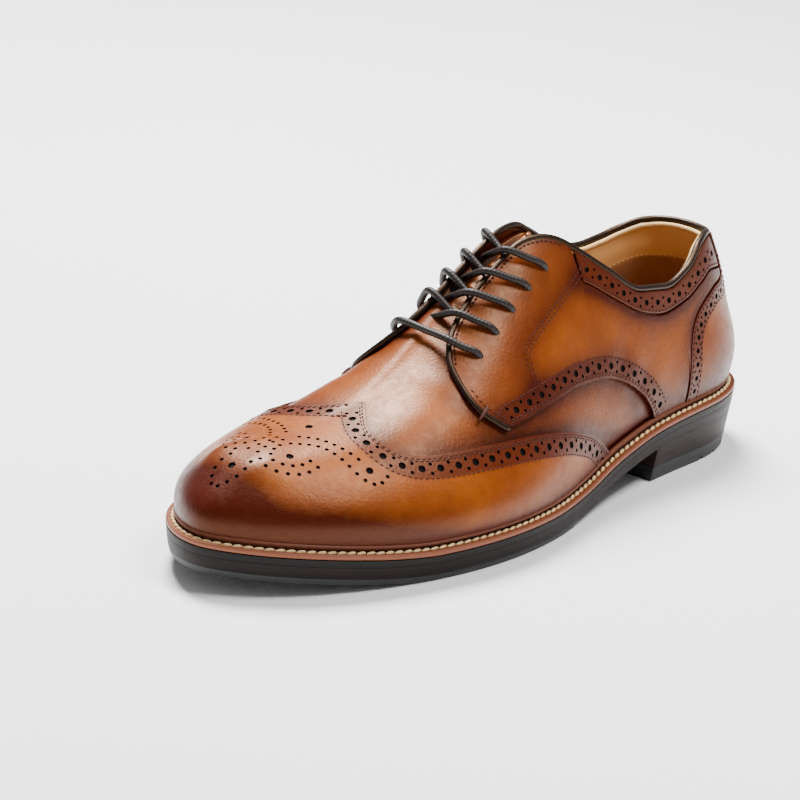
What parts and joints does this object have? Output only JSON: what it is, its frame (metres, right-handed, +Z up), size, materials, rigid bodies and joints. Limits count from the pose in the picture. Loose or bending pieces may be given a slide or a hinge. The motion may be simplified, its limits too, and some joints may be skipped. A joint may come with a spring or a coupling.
{
  "type": "brogue shoe",
  "caption": "Left wingtip brogue shoe: hollow laced upper with toe cap, counter and piping on a stitched storm welt, stacked sole and heel.",
  "frame": {"origin": "under the middle of the sole's outline, on the floor", "axes": "+X towards the toe, +Y towards the lateral side, +Z up"},
  "size_m": [0.305, 0.1086, 0.1175],
  "materials": {
    "welt_leather": "satin",
    "sole_edge": "satin",
    "stacked_leather": "satin",
    "black_rubber": "matte",
    "lining_leather": "matte",
    "burnished_leather": "polished",
    "piping_leather": "polished",
    "waxed_lace": "waxed"
  },
  "bodies": {
    "root": {"welt": "welt_leather", "midsole": "sole_edge", "outsole": "stacked_leather", "sole_rubber": "black_rubber", "heel_block": "stacked_leather", "heel_top_lift": "black_rubber", "insole": "lining_leather", "upper": "burnished_leather", "wing_cap": "burnished_leather", "heel_counter": "burnished_leather", "quarter_lateral": "burnished_leather", "quarter_medial": "burnished_leather", "collar_band_lateral": "burnished_leather", "collar_band_medial": "burnished_leather", "piping": "piping_leather", "tongue": "burnished_leather", "lace_bar": "waxed_lace", "lace_crossing_2": "waxed_lace", "lace_crossing_3": "waxed_lace", "lace_crossing_4": "waxed_lace", "lace_crossing_5": "waxed_lace"}
  },
  "joints": []
}
